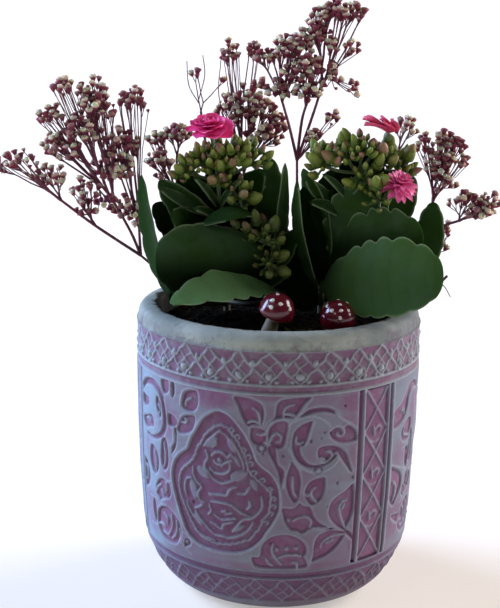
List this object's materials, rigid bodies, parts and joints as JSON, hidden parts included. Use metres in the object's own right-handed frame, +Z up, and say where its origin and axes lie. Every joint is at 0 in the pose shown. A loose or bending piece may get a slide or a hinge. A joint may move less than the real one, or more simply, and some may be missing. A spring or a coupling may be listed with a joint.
{
  "type": "potted kalanchoe",
  "caption": "Round relief-moulded pot with scrollwork, planted with flowering kalanchoes, dyed gypsophila sprays and red toadstool picks on wires.",
  "frame": {"origin": "middle of the pot's flat foot, on the surface that it stands on", "axes": "+Z up along the pot's axis, -Y towards the viewer, +X to the viewer's right"},
  "size_m": [0.2489, 0.14, 0.2893],
  "materials": {
    "cast_stone": "matt cast stone, whitewashed, with mauve-pink relief",
    "soil": "dark crumbly potting soil with a little moss",
    "leaf": "waxy, fleshy leaf",
    "bud": "smooth yellow-green with pink tips",
    "petal": "velvety magenta-pink",
    "spray": "dry burgundy twigs with cream florets",
    "red_lacquer": "glossy red lacquer with white dots",
    "cream_paint": "satin cream paint",
    "wire": "dull drawn wire"
  },
  "bodies": {
    "root": {"pot": "cast_stone", "soil": "soil", "left_kalanchoe": "leaf", "right_kalanchoe": "leaf", "left_bloom": "petal", "right_bloom": "petal", "right_side_bloom": "petal", "left_flower_head": "bud", "left_side_flower_head": "bud", "right_flower_head": "bud", "right_side_flower_head": "bud", "left_spray": "spray", "left_back_spray": "spray", "centre_left_spray": "spray", "tall_spray": "spray", "right_spray": "spray", "small_right_spray": "spray", "left_toadstool_cap": "red_lacquer", "left_toadstool_stem": "cream_paint", "left_toadstool_wire": "wire", "right_toadstool_cap": "red_lacquer", "right_toadstool_stem": "cream_paint", "right_toadstool_wire": "wire"}
  },
  "joints": []
}
